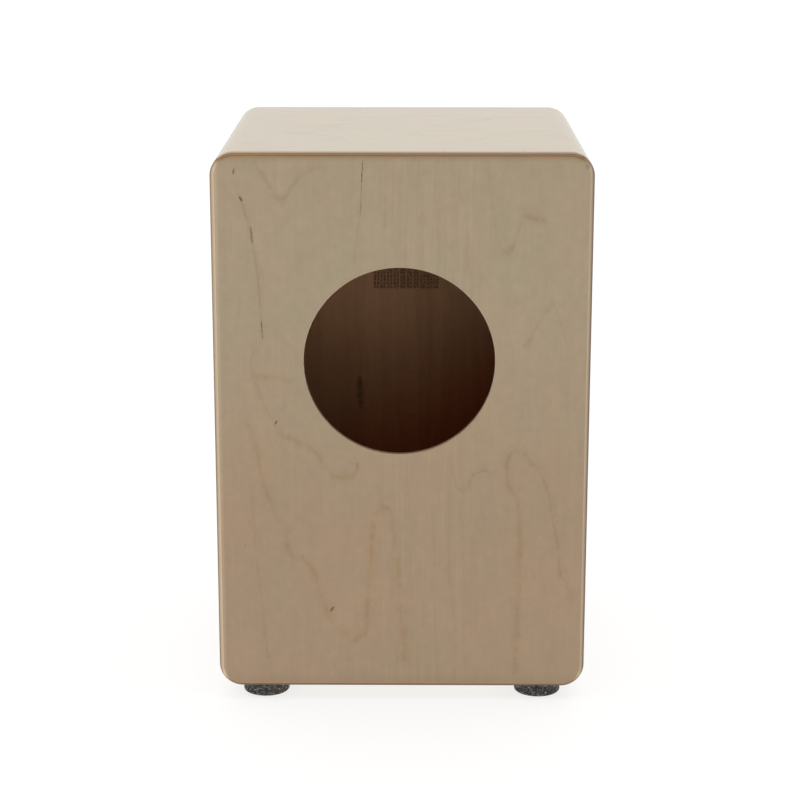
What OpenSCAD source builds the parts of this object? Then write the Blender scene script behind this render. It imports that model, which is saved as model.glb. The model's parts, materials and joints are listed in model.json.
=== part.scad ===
// Snare cajon: a six-sided plywood box drum that the player sits on.
// Origin: centre of the footprint on the floor. +Z is up, the playing face
// looks along -Y and the rear panel with the sound hole looks along +Y.
// Left is -X and right is +X.

/* [Box] */
// Width of the box, side to side
body_w = 300; // [280:1:320]
// Depth of the box, front of the tapa to back of the rear panel
body_d = 300; // [280:1:320]
// Height of the box without its feet
body_h = 442; // [420:1:480]
// Thickness of the top, bottom and side panels
wall_t = 12; // [10:0.5:14]
// Outer radius of the four long corners
corner_r = 19; // [16:0.5:22]
// Leg length of the glue block inside each long corner
block_w = 18; // [14:1:20]

/* [Rear panel] */
// Thickness of the rear panel
rear_t = 6; // [5:0.5:8]
// Roundover radius on the rim of the rear panel
rear_edge_r = 4.5; // [2:0.5:4.5]
// Diameter of the sound hole
hole_d = 152; // [110:1:160]
// Sideways offset of the sound hole
hole_x = 2; // [-4:0.5:4]
// Distance from the top of the box down to the centre of the sound hole
hole_down = 166.8; // [150:0.2:190]
// Break on both edges of the sound hole
hole_break = 0.8; // [0.4:0.1:1.2]

/* [Tapa] */
// Thickness of the playing plate
tapa_t = 3; // [2.5:0.1:4]
// Roundover radius on the rim of the playing plate
tapa_edge_r = 1.5; // [0.5:0.25:2]
// Number of screws down each side of the playing plate
side_screws = 5; // [3:1:7]
// Distance of the screws from the rim
screw_inset = 6; // [5:0.5:6]
// Height of the uppermost side screws below the top
screw_down = 26; // [22:1:40]
// Length of the playing plate's screws
screw_len = 25; // [18:1:30]

/* [Feet] */
// Diameter of a rubber foot
foot_d = 38.5; // [30:0.5:44]
// Height of a rubber foot
foot_h = 12; // [8:0.5:18]
// Distance of the feet from the middle, sideways
foot_x = 113; // [80:1:118]
// Distance of the feet from the middle, front to back
foot_y = 123.5; // [80:0.5:125]

/* [Snare] */
// Sideways offset of the whole snare unit
snare_x = -2.5; // [-6:0.5:6]
// Number of coiled snare strands
strands = 20; // [12:2:20]
// Spacing of the strands
strand_pitch = 3.05; // [2.7:0.05:3.1]
// Outer diameter of a strand's coil
strand_d = 2.4; // [2:0.1:2.6]
// Distance from the top of the box down to the strands' free ends
strand_down = 167.3; // [140:0.1:190]
// Clearance between the strands and the playing plate
strand_gap = 0.2; // [0.1:0.05:1]
// Height of the snare bar's pivot below the top of the box
pivot_down = 34; // [34:1:40]
// Distance from the pivot down to the pull bolt
pull_arm = 20; // [20:1:22]

/* [Hidden] */
$fn = 96;

play = 0.05; // clearance between close-fitting parts
cut = 1;     // overshoot of a cutter past the surface it opens

// Colours shared by several nodes
black_steel = [0.12, 0.12, 0.13];
screw_steel = [0.70, 0.70, 0.72];
wire_steel = [0.70, 0.71, 0.73];
washer_steel = [0.72, 0.73, 0.75];

// Box levels
box_bottom = foot_h;
box_top = foot_h + body_h;
box_mid = foot_h + body_h / 2;
y_front = -body_d / 2;
y_back = body_d / 2;
y_in_front = y_front + tapa_t;
y_in_back = y_back - rear_t;
shell_run = y_in_back - y_in_front;
half_w = body_w / 2;
half_h = body_h / 2;
block_end = 6; // width of a corner block's legs at their ends

// Playing plate screws, placed as [x, z]
screw_r = 1.7;
head_r = 3.5;
head_rim = 0.3; // straight rim above the cone of the head
side_screw_x = half_w - screw_inset;
side_screw_z = [for (i = [0:side_screws - 1])
  box_top - screw_down - i * (body_h - 2 * screw_down) / (side_screws - 1)];
top_screws = [for (x = [-50, 50]) [x, box_top - screw_inset]];
bottom_screws = [for (x = [-75, 0, 75]) [x, box_bottom + screw_inset]];
fixed_screws = concat(
  [for (i = [1:side_screws - 1], side = [-1, 1]) [side * side_screw_x, side_screw_z[i]]],
  top_screws, bottom_screws);
slap_screws = [for (side = [-1, 1]) [side * side_screw_x, side_screw_z[0]]];

// Feet
foot_low_break = 1.5;
foot_high_break = 0.6;

// Snare strands, end plate and bar, from the playing plate backwards
strand_y = y_in_front + strand_gap + strand_d / 2;
plate_t = 0.8;
plate_y = strand_y + strand_d / 2 + 0.02;
bar_y = plate_y + plate_t;
bar_t = 12;
bar_half = 42;
pivot_y = bar_y + bar_t / 2;
pivot_z = box_top - pivot_down;
pull_z = pivot_z - pull_arm;
bar_top = pivot_z + 8;
bar_bottom = box_top - 86;
slot_w = 7; // slot in the bar for the pull bolt
slot_h = 13;
strand_top = bar_bottom + 18;
plate_half = 38;
plate_z = bar_bottom + 6;
plate_h = 14;
plate_screw_len = 10;
plate_screw_r = 1.4;
plate_screws = [for (side = [-1, 1])
  [snare_x + side * (plate_half - 4), plate_z + plate_h / 2]];

// Rail behind the bar
rail_y = bar_y + bar_t + 12;
rail_t = 18;
rail_back = rail_y + rail_t;
rail_low = pull_z - 14;
rail_top = pivot_z;
rail_hole_r = 3.5;

// Pivot brackets
lug_t = 2;
lug_r = 8;
lug_x = bar_half + 0.6;
flange_w = 20;
flange_h = 24;
flange_z = rail_low + 4;
bracket_screw_len = 14;
bracket_screw_r = 1.6;
bracket_screw_x = lug_x + 12;
bracket_screw_z = [flange_z + 5, flange_z + flange_h - 5];
bracket_screw_places = [for (side = [-1, 1], z = bracket_screw_z)
  [snare_x + side * bracket_screw_x, z]];

// Pins, pull bolt, spring seat and knob
pin_r = 2;
pin_break = 0.4;
pivot_pin_half = 46;
eye_r = 6;
eye_half = 3; // half the thickness of the bolt's eye
shank_r = 3;
shank_len = 61.6;
shank_break = 0.6;
seat_t = 1.2;
knob_washer_t = 1.6;
knob_y = rail_back + knob_washer_t + play;
knob_hub_r = 8;
knob_hub_h = 3;
knob_star_h = 10;
knob_bore_r = 4.52;

// Places children with their +Z looking forwards, along -Y
module to_front(place) {
  translate(place) rotate([90, 0, 0]) children();
}

// Places children with their +Z looking backwards, along +Y
module to_back(place) {
  translate(place) rotate([-90, 0, 0]) children();
}

// Extrudes a section drawn in Y and Z along +X
module along_x(x, length) {
  translate([x, 0, 0]) rotate([90, 0, 90]) linear_extrude(height = length) children();
}

// Cutters for holes at [x, z] places, running backwards from a face at y
module bores(places, y, radius, depth) {
  for (place = places) to_back([place[0], y - cut, place[1]])
    cylinder(r = radius, h = depth + cut);
}

// Flat ring on the pull bolt's axis, its front face at y
module ring(y, outer_r, inner_r, thick) {
  to_back([snare_x, y, pull_z]) difference() {
    cylinder(r = outer_r, h = thick);
    translate([0, 0, -cut]) cylinder(r = inner_r, h = thick + 2 * cut);
  }
}

// Section of a panel rim, rounded at its outer front corner
module rim_section(reach, thick, edge_r) {
  square([reach - edge_r, thick]);
  translate([reach - edge_r, 0]) square([edge_r, thick - edge_r]);
  translate([reach - edge_r, thick - edge_r]) intersection() {
    circle(r = edge_r);
    square([edge_r, edge_r]);
  }
}

// Box-sized plate with rounded corners and one rounded rim, standing on z = 0
module rounded_plate(thick, edge_r) {
  core_x = half_w - corner_r;
  core_y = half_h - corner_r;
  union() {
    translate([-core_x, -core_y, 0]) cube([2 * core_x, 2 * core_y, thick]);
    for (k = [0:3]) {
      odd = k % 2;
      rotate([0, 0, 90 * k]) translate([odd ? core_y : core_x, 0, 0]) rotate([90, 0, 0])
        linear_extrude(height = 2 * (odd ? core_x : core_y), center = true)
          rim_section(corner_r, thick, edge_r);
      translate([(k == 0 || k == 3) ? core_x : -core_x, k < 2 ? core_y : -core_y, 0])
        rotate([0, 0, 90 * k]) rotate_extrude(angle = 90)
          rim_section(corner_r, thick, edge_r);
    }
  }
}

// Section of one wall of the box: mitred at both ends and rounded outside.
// reach is half the wall's length, out its outer face's distance from the axis.
module wall_section(reach, out) {
  core = reach - corner_r;
  over = 2; // how far the mitre's clipping shape passes the corner
  translate([-core, out - wall_t]) square([2 * core, wall_t]);
  for (flip = [0, 1]) mirror([flip, 0]) intersection() {
    translate([core, out - corner_r]) circle(r = corner_r);
    polygon([
      [core, out - wall_t], [reach - wall_t, out - wall_t],
      [reach + over, out + over], [core, out + over]
    ]);
  }
}

// One wall of the box, turned about the box's front-to-back axis
module wall(turn, reach, out) {
  to_front([0, y_in_back, box_mid])
    linear_extrude(height = shell_run) rotate([0, 0, turn]) wall_section(reach, out);
}

// Pilot holes behind the playing plate, 1 deeper than the screws
module pilots(places) {
  bores(places, y_in_front, screw_r + play, screw_len - tapa_t + 1);
}

module top_panel() {
  color([0.86, 0.80, 0.68]) difference() {
    wall(0, half_w, half_h);
    pilots(top_screws);
  }
}

module bottom_panel() {
  color([0.84, 0.77, 0.65]) difference() {
    wall(180, half_w, half_h);
    pilots(bottom_screws);
  }
}

module side_panel(side) {
  color([0.85, 0.78, 0.66]) difference() {
    wall(side > 0 ? -90 : 90, half_h, half_w);
    pilots([for (z = side_screw_z) [side * side_screw_x, z]]);
  }
}

module rear_panel() {
  hole_r = hole_d / 2;
  wide_r = hole_r + hole_break + cut;
  cone_h = hole_break + cut;
  color([0.80, 0.71, 0.58]) difference() {
    translate([0, y_in_back, box_mid]) rotate([90, 0, 180])
      rounded_plate(rear_t, rear_edge_r);
    to_front([hole_x, y_back, box_top - hole_down]) {
      translate([0, 0, -cut]) cylinder(r = hole_r, h = rear_t + 2 * cut, $fn = 180);
      translate([0, 0, -cut]) cylinder(r1 = wide_r, r2 = hole_r, h = cone_h, $fn = 180);
      translate([0, 0, rear_t - hole_break])
        cylinder(r1 = hole_r, r2 = wide_r, h = cone_h, $fn = 180);
    }
  }
}

// Clearance in the playing plate for a countersunk screw
module sink() {
  sink_r = head_r + play;
  hole_r = screw_r + 0.3;
  cone_z = -head_rim - play;
  rotate_extrude() polygon([
    [0, cut], [sink_r, cut], [sink_r, cone_z],
    [hole_r, cone_z - (sink_r - hole_r)], [hole_r, -tapa_t - cut], [0, -tapa_t - cut]
  ]);
}

module tapa() {
  color([0.45, 0.24, 0.14]) difference() {
    to_front([0, y_in_front, box_mid]) rounded_plate(tapa_t, tapa_edge_r);
    for (place = concat(fixed_screws, slap_screws))
      to_front([place[0], y_front, place[1]]) sink();
  }
}

// Glue block in one long corner, its inner edge cut off at 45 degrees
module corner_block(side, level) {
  x = half_w - wall_t;
  y = half_h - wall_t;
  color([0.74, 0.60, 0.42]) to_front([0, y_in_back, box_mid])
    linear_extrude(height = shell_run)
      mirror([side < 0 ? 1 : 0, 0]) mirror([0, level < 0 ? 1 : 0])
        polygon([
          [x, y], [x - block_w, y], [x - block_w, y - block_end],
          [x - block_end, y - block_w], [x, y - block_w]
        ]);
}

// Countersunk screw with a hexagon socket, its head flush with the tapa
module tapa_screw(place) {
  tip = 3;
  to_front([place[0], y_front, place[1]]) difference() {
    rotate_extrude() polygon([
      [0, 0], [head_r, 0], [head_r, -head_rim], [screw_r, -head_rim - (head_r - screw_r)],
      [screw_r, tip - screw_len], [0, -screw_len]
    ]);
    translate([0, 0, -1.4]) cylinder(r = 1.7, h = 2, $fn = 6);
  }
}

module tapa_screws() {
  color(black_steel) for (place = fixed_screws) tapa_screw(place);
}

// Uppermost side screw of the tapa: 0 is left, 1 is right
module slap_screw(index) {
  color(black_steel) tapa_screw(slap_screws[index]);
}

// Rubber foot: a disc with bevelled rims under the bottom panel
module foot(side, depth) {
  radius = foot_d / 2;
  color([0.22, 0.21, 0.20]) translate([side * foot_x, depth * foot_y, 0])
    rotate_extrude() polygon([
      [0, 0], [radius - foot_low_break, 0], [radius, foot_low_break],
      [radius, foot_h - foot_high_break], [radius - foot_high_break, foot_h], [0, foot_h]
    ]);
}

// Pan head screw: underside of the head on z = 0, pointing down
module pan_screw(length, radius, pan_r, pan_h) {
  tip = 2;
  difference() {
    rotate_extrude() polygon([
      [0, pan_h], [pan_r - 0.7, pan_h], [pan_r, pan_h - 0.8], [pan_r, 0],
      [radius, 0], [radius, tip - length], [0, -length]
    ]);
    translate([0, 0, pan_h - 1]) cylinder(r = 1.3, h = 2, $fn = 6);
  }
}

// Bar stock along X with broken edges, given its front, back and two heights
module bar_stock(x, length, front, back, low, high) {
  edge = 1;
  along_x(x, length) polygon([
    [front + edge, low], [back - edge, low], [back, low + edge], [back, high - edge],
    [back - edge, high], [front + edge, high], [front, high - edge], [front, low + edge]
  ]);
}

module snare_rail() {
  inner_half = half_w - wall_t;
  color([0.80, 0.66, 0.48]) difference() {
    bar_stock(-inner_half, 2 * inner_half, rail_y, rail_back, rail_low, rail_top);
    bores([[snare_x, pull_z]], rail_y, rail_hole_r, rail_t + cut);
    bores(bracket_screw_places, rail_y, bracket_screw_r + play, bracket_screw_len);
  }
}

// Angle bracket: a flange on the rail and a lug that holds the pivot pin
module pivot_bracket(side) {
  flange_y = rail_y - lug_t;
  color([0.62, 0.63, 0.65]) translate([snare_x, 0, 0]) mirror([side < 0 ? 1 : 0, 0, 0])
    difference() {
      union() {
        along_x(lug_x, lug_t) union() {
          translate([pivot_y, pivot_z]) circle(r = lug_r);
          polygon([
            [rail_y, flange_z], [rail_y, pivot_z + lug_r],
            [pivot_y, pivot_z + lug_r], [pivot_y, pivot_z - lug_r]
          ]);
        }
        translate([lug_x, flange_y, flange_z]) cube([flange_w, lug_t, flange_h]);
      }
      translate([lug_x - cut, pivot_y, pivot_z]) rotate([0, 90, 0])
        cylinder(r = pin_r + play, h = lug_t + 2 * cut);
      bores([for (z = bracket_screw_z) [bracket_screw_x, z]], flange_y, 1.8, lug_t + cut);
    }
}

module bracket_screws() {
  color(screw_steel) for (place = bracket_screw_places)
    to_front([place[0], rail_y - lug_t, place[1]])
      pan_screw(bracket_screw_len, bracket_screw_r, pan_r = 3, pan_h = 2);
}

module snare_bar() {
  left = snare_x - bar_half;
  color([0.78, 0.63, 0.44]) difference() {
    bar_stock(left, 2 * bar_half, bar_y, bar_y + bar_t, bar_bottom, bar_top);
    for (z = [pivot_z, pull_z]) translate([left - cut, pivot_y, z]) rotate([0, 90, 0])
      cylinder(r = pin_r + 0.02, h = 2 * (bar_half + cut));
    translate([snare_x - slot_w / 2, bar_y - cut, pull_z - slot_h / 2])
      cube([slot_w, bar_t + 2 * cut, slot_h]);
    bores(plate_screws, bar_y, plate_screw_r + play, plate_screw_len);
  }
}

// Pin along X with bevelled ends
module cross_pin(z, half) {
  color([0.75, 0.76, 0.78]) translate([snare_x - half, pivot_y, z]) rotate([0, 90, 0])
    rotate_extrude() polygon([
      [0, 0], [pin_r - pin_break, 0], [pin_r, pin_break],
      [pin_r, 2 * half - pin_break], [pin_r - pin_break, 2 * half], [0, 2 * half]
    ]);
}

module spring_seat_washer() {
  color(washer_steel) ring(bar_y + bar_t, 9, 4, seat_t);
}

module snare_end_plate() {
  color([0.78, 0.70, 0.50]) difference() {
    translate([snare_x - plate_half, plate_y, plate_z])
      cube([2 * plate_half, plate_t, plate_h]);
    bores(plate_screws, plate_y, 1.6, plate_t + cut);
  }
}

module end_plate_screws() {
  color(screw_steel) for (place = plate_screws) to_front([place[0], plate_y, place[1]])
    pan_screw(plate_screw_len, plate_screw_r, pan_r = 2.6, pan_h = 1.6);
}

// Envelopes of the coiled strands, hanging from the end plate
module snare_strands() {
  low = box_top - strand_down;
  color(wire_steel) for (i = [0:strands - 1])
    translate([snare_x + (i - (strands - 1) / 2) * strand_pitch, strand_y, low])
      cylinder(r = strand_d / 2, h = strand_top - low, $fn = 24);
}

// Bolt along Y with its eye around the eye pin
module pull_eye_bolt() {
  color(wire_steel) translate([snare_x, pivot_y, pull_z]) difference() {
    union() {
      translate([-eye_half, 0, 0]) rotate([0, 90, 0]) cylinder(r = eye_r, h = 2 * eye_half);
      rotate([-90, 0, 0]) rotate_extrude() polygon([
        [0, 0], [shank_r, 0], [shank_r, shank_len - shank_break],
        [shank_r - shank_break, shank_len], [0, shank_len]
      ]);
    }
    translate([-eye_half - cut, 0, 0]) rotate([0, 90, 0])
      cylinder(r = pin_r + 0.3, h = 2 * (eye_half + cut));
  }
}

// Compression spring around the pull bolt, between its seat and the rail
module pressure_spring() {
  wire_r = 0.5;
  coil_r = 4.4;
  turns = 4.5;
  steps = 14; // wire sections per turn
  sides = 6;  // corners of a wire section
  end_gap = 0.06;
  start = bar_y + bar_t + seat_t + wire_r + end_gap;
  end = rail_y - wire_r - end_gap;
  last = floor(turns * steps);
  function corner(i, k) =
    let (around = 360 * i / steps, tilt = 360 * k / sides, reach = coil_r + wire_r * cos(tilt))
    [
      snare_x + reach * cos(around),
      start + (end - start) * i / last + wire_r * sin(tilt),
      pull_z + reach * sin(around)
    ];
  points = [for (i = [0:last], k = [0:sides - 1]) corner(i, k)];
  faces = concat(
    [[for (k = [0:sides - 1]) k]],
    [for (i = [0:last - 1], k = [0:sides - 1])
      let (here = i * sides + k, beside = i * sides + (k + 1) % sides)
      [here, here + sides, beside + sides, beside]],
    [[for (k = [sides - 1:-1:0]) last * sides + k]]);
  color([0.66, 0.67, 0.70]) polyhedron(points = points, faces = faces, convexity = 8);
}

module knob_washer() {
  color(washer_steel) ring(rail_back, 8, 3.2, knob_washer_t);
}

// Outline of the star knob with six finger lobes
module star_outline() {
  difference() {
    union() {
      circle(r = 11);
      for (k = [0:5]) rotate(60 * k) translate([10.5, 0]) circle(r = 4, $fn = 32);
    }
    circle(r = knob_bore_r);
  }
}

// Star knob with a round hub towards the rail
module adjuster_knob() {
  color([0.10, 0.10, 0.11]) to_back([snare_x, knob_y, pull_z]) {
    linear_extrude(height = knob_hub_h) difference() {
      circle(r = knob_hub_r);
      circle(r = knob_bore_r);
    }
    translate([0, 0, knob_hub_h]) linear_extrude(height = knob_star_h) star_outline();
  }
}

module knob_insert() {
  color([0.80, 0.66, 0.34]) ring(knob_y, 4.5, 3.05, knob_hub_h + knob_star_h);
}

top_panel();
bottom_panel();
side_panel(-1);  // left_side_panel
side_panel(1);  // right_side_panel
rear_panel();
tapa();
corner_block(-1, 1);  // top_left_corner_block
corner_block(1, 1);  // top_right_corner_block
corner_block(-1, -1);  // bottom_left_corner_block
corner_block(1, -1);  // bottom_right_corner_block
tapa_screws();
slap_screw(0);  // slap_screw_left
slap_screw(1);  // slap_screw_right
foot(-1, -1);  // front_left_foot
foot(1, -1);  // front_right_foot
foot(-1, 1);  // rear_left_foot
foot(1, 1);  // rear_right_foot
snare_rail();
pivot_bracket(-1);  // left_pivot_bracket
pivot_bracket(1);  // right_pivot_bracket
bracket_screws();
snare_bar();
cross_pin(pivot_z, pivot_pin_half);  // pivot_pin
cross_pin(pull_z, bar_half);  // eye_pin
spring_seat_washer();
snare_end_plate();
end_plate_screws();
snare_strands();
pull_eye_bolt();
pressure_spring();
knob_washer();
adjuster_knob();
knob_insert();
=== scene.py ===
"""Cajon (box drum) standing on a lit table.

The box is centred on X and stands along +Z. The playing plate (tapa) faces -Y; the rear panel with
its sound hole faces +Y, towards the camera. Lengths are in millimetres unless noted; the scene is
in metres.
"""

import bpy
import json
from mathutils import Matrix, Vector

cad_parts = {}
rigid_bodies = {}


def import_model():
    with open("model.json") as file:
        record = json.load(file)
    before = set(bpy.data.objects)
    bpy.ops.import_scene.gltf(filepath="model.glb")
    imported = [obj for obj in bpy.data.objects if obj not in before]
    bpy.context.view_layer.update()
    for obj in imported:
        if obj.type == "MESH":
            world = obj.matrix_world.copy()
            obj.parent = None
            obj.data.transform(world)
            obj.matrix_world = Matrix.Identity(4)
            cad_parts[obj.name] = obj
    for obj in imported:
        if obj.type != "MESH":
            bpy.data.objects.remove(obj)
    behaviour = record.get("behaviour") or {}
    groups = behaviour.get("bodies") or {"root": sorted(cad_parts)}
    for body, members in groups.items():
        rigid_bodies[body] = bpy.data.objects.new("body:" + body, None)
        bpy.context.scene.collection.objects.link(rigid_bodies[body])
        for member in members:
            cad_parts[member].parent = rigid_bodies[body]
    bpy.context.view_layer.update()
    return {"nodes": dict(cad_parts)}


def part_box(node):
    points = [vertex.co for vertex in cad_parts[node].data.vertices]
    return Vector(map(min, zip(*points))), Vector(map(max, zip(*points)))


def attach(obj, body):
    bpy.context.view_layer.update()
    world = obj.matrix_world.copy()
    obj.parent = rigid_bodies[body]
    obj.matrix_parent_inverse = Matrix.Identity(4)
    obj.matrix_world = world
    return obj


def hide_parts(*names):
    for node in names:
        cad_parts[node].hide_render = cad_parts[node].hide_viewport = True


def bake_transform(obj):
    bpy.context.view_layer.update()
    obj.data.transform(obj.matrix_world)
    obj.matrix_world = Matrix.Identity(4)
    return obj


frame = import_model()

import json
import math

import bmesh
import bpy
import numpy as np
from mathutils import Matrix, Vector, noise as mnoise

SCENE = bpy.context.scene
MM = 0.001


def box_mm(node):
    """Lowest and highest corner of a CAD node in millimetres."""
    low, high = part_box(node)
    return [c * 1000 for c in low], [c * 1000 for c in high]


# ---------------------------------------------------------------- dimensions
(LEFT_X, REAR_IN_Y, BOTTOM_Z), (RIGHT_X, REAR_OUT_Y, TOP_Z) = box_mm("rear_panel")
(_, TAPA_OUT_Y, _), (_, TAPA_IN_Y, _) = box_mm("tapa")
HALF_W = (RIGHT_X - LEFT_X) / 2
HALF_H = (TOP_Z - BOTTOM_Z) / 2
MID_Z = (BOTTOM_Z + TOP_Z) / 2
CORNER_R = 19.0
WALL_T = 12.0
REAR_EDGE_R = 4.5
TAPA_EDGE_R = 1.5
HOLE_R = 76.0
HOLE_X = 2.0
HOLE_Z = TOP_Z - 166.8
SNARE_X = -2.5
REAR_PLY_T = 6.0  # depth over which the rear panel's ply colours are spread
TAPA_PLY_T = 3.0

# Screws of the playing plate: their centres lie this far inside the outline
SCREW_INSET = 6
SIDE_SCREW_END = 26
SIDE_Z = [TOP_Z - SIDE_SCREW_END - i * (2 * HALF_H - 2 * SIDE_SCREW_END) / 4 for i in range(5)]
FIXED_SCREWS = [(side * (HALF_W - SCREW_INSET), z) for z in SIDE_Z[1:] for side in (-1, 1)]
FIXED_SCREWS += [(x, TOP_Z - SCREW_INSET) for x in (-50, 50)]
FIXED_SCREWS += [(x, BOTTOM_Z + SCREW_INSET) for x in (-75, 0, 75)]
SLAP_SCREWS = [(side * (HALF_W - SCREW_INSET), SIDE_Z[0]) for side in (-1, 1)]


# ---------------------------------------------------------------- mesh helpers
class Shape:
    """Collects points (mm) and faces, then makes one object out of them."""

    def __init__(self):
        self.points, self.faces, self.slots, self.caps = [], [], [], []

    def ring(self, points):
        first = len(self.points)
        self.points.extend([tuple(map(float, point)) for point in points])
        return list(range(first, first + len(points)))

    def face(self, corners, slot=0):
        self.faces.append(tuple(corners))
        self.slots.append(slot)

    def bridge(self, ring, other, raw_side=None):
        """Quads between two rings; the side numbered raw_side gets the second material."""
        for i in range(len(ring)):
            j = (i + 1) % len(ring)
            self.face((ring[i], ring[j], other[j], other[i]), 1 if i == raw_side else 0)

    def fan(self, ring, centre):
        middle, = self.ring([centre])
        for i in range(len(ring)):
            self.face((ring[i], ring[(i + 1) % len(ring)], middle))

    def cap(self, loops, slot=0):
        """Fills the flat area between an outer loop and any inner loops."""
        self.caps.append((loops, slot))

    def loft(self, rings, raw_side=None):
        made = [self.ring(points) for points in rings]
        for ring, other in zip(made, made[1:]):
            self.bridge(ring, other, raw_side)
        return made

    def make(self, name, materials, sharp=32, recalc=True, weighted=True):
        bm = bmesh.new()
        verts = [bm.verts.new((x * MM, y * MM, z * MM)) for x, y, z in self.points]
        for corners, slot in zip(self.faces, self.slots):
            bm.faces.new([verts[i] for i in corners]).material_index = slot
        for loops, slot in self.caps:
            edges = []
            for loop in loops:
                for i in range(len(loop)):
                    pair = (verts[loop[i]], verts[loop[(i + 1) % len(loop)]])
                    edges.append(bm.edges.get(pair) or bm.edges.new(pair))
            filled = bmesh.ops.triangle_fill(bm, use_beauty=True, use_dissolve=False, edges=edges)
            for item in filled["geom"]:
                if isinstance(item, bmesh.types.BMFace):
                    item.material_index = slot
        if recalc:
            bmesh.ops.recalc_face_normals(bm, faces=bm.faces)
        mesh = bpy.data.meshes.new(name)
        bm.to_mesh(mesh)
        bm.free()
        return finish_mesh(name, mesh, materials, sharp, weighted)


def add_weighted_normals(ob):
    modifier = ob.modifiers.new("weighted", "WEIGHTED_NORMAL")
    modifier.keep_sharp = True


def finish_mesh(name, mesh, materials, sharp, weighted):
    for material in materials:
        mesh.materials.append(material)
    mesh.shade_smooth()
    mesh.set_sharp_from_angle(angle=math.radians(sharp))
    ob = bpy.data.objects.new(name, mesh)
    SCENE.collection.objects.link(ob)
    if weighted:
        add_weighted_normals(ob)
    return ob


def place(ob, body, node):
    """Fixes an object to its moving body and lets it stand in for a CAD node."""
    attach(ob, body)
    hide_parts(node)


def ring_y(x, z, radii, y):
    """Ring about an axis along Y, one radius per angle."""
    angles = [2 * math.pi * i / len(radii) for i in range(len(radii))]
    return [(x + radius * math.cos(a), y, z + radius * math.sin(a))
            for a, radius in zip(angles, radii)]


def rounded_rect(inset, y, segments):
    """The box's outline, moved inwards by inset, at depth y."""
    radius = CORNER_R - inset
    corner_x, corner_z = HALF_W - CORNER_R, HALF_H - CORNER_R
    points = []
    for corner, (side_x, side_z) in enumerate(((1, 1), (-1, 1), (-1, -1), (1, -1))):
        for i in range(segments + 1):
            angle = math.radians(90 * corner + 90 * i / segments)
            points.append((side_x * corner_x + radius * math.cos(angle), y,
                           MID_Z + side_z * corner_z + radius * math.sin(angle)))
    return points


def quarter(steps):
    """Pairs (1 - cos, sin) along a quarter turn."""
    angles = [math.pi / 2 * i / steps for i in range(steps + 1)]
    return [(1 - math.cos(a), math.sin(a)) for a in angles]


# ---------------------------------------------------------------- shader helpers
class Field:
    """Output socket of a shader node. Arithmetic on it adds Math nodes."""

    def __init__(self, socket):
        self.socket = socket

    def __add__(self, other):
        return math_node("ADD", self, other)

    def __sub__(self, other):
        return math_node("SUBTRACT", self, other)

    def __rsub__(self, other):
        return math_node("SUBTRACT", other, self)

    def __mul__(self, other):
        return math_node("MULTIPLY", self, other)

    def __truediv__(self, number):
        return self * (1 / number)

    def __abs__(self):
        return math_node("ABSOLUTE", self)


def set_input(socket, value):
    """Links a Field, or sets a value; a colour of three parts becomes opaque."""
    if isinstance(value, Field):
        socket.id_data.links.new(value.socket, socket)
    elif isinstance(value, tuple) and len(value) < len(socket.default_value):
        socket.default_value = (*value, 1)
    else:
        socket.default_value = value


def add_node(kind, inputs, **settings):
    """New node in the tree of its Field inputs; inputs maps socket names or numbers to values."""
    tree = next(v.socket.id_data for v in inputs.values() if isinstance(v, Field))
    node = tree.nodes.new(kind)
    for key, value in settings.items():
        setattr(node, key, value)
    for key, value in inputs.items():
        set_input(node.inputs[key], value)
    return node


def field(kind, inputs, output=0, **settings):
    return Field(add_node(kind, inputs, **settings).outputs[output])


def math_node(operation, first, second=0.0, third=0.0, clamp=False):
    return field("ShaderNodeMath", {0: first, 1: second, 2: third},
                 operation=operation, use_clamp=clamp)


def scale_add(value, factor, offset):
    return math_node("MULTIPLY_ADD", value, factor, offset)


def vector_math(operation, *vectors):
    output = "Value" if operation in ("DOT_PRODUCT", "LENGTH") else 0
    return field("ShaderNodeVectorMath", dict(enumerate(vectors)), output, operation=operation)


def scaled(vector, factor):
    return field("ShaderNodeVectorMath", {0: vector, "Scale": factor}, operation="SCALE")


def split(vector):
    node = add_node("ShaderNodeSeparateXYZ", {0: vector})
    return [Field(socket) for socket in node.outputs]


def xyz(x, y, z):
    return field("ShaderNodeCombineXYZ", {0: x, 1: y, 2: z})


def map_range(value, start, end, low=0.0, high=1.0, shape="SMOOTHSTEP"):
    return field("ShaderNodeMapRange", {0: value, 1: start, 2: end, 3: low, 4: high},
                 interpolation_type=shape, clamp=True)


def rise(value, start, end, high=1.0):
    """Smooth step from 0 at start to high at end."""
    return map_range(value, start, end, 0.0, high)


def fall(value, start, end, high=1.0):
    """Smooth step from high at start to 0 at end."""
    return map_range(value, start, end, high, 0.0)


def mix(colour, other, share, mode="MIX"):
    return field("ShaderNodeMix", {0: share, 6: colour, 7: other}, 2,
                 data_type="RGBA", blend_type=mode)


def tinted(colour, tint, share=1.0):
    return mix(colour, tint, share, "MULTIPLY")


def shaded(colour, grey):
    return tinted(colour, xyz(grey, grey, grey))


def noise(position, scale=1.0, detail=2.0, rough=0.5, output=0):
    """Noise at a vector or at three coordinates; output 1 is its colour."""
    if isinstance(position, tuple):
        position = xyz(*position)
    return field("ShaderNodeTexNoise", {"Vector": position, "Scale": scale, "Detail": detail,
                                        "Roughness": rough}, output)


def noise_on(across, along, seed, rough=0.5):
    """Noise over a face, called with its feature size (across, along) and a seed offset."""
    def sample(width, length, offset, **options):
        options.setdefault("rough", rough)
        return noise((across / width, along / length, seed + offset), **options)
    return sample


def voronoi(position, scale=1.0, feature="F1", randomness=1.0):
    return add_node("ShaderNodeTexVoronoi", {"Vector": position, "Scale": scale,
                                             "Randomness": randomness}, feature=feature)


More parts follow.
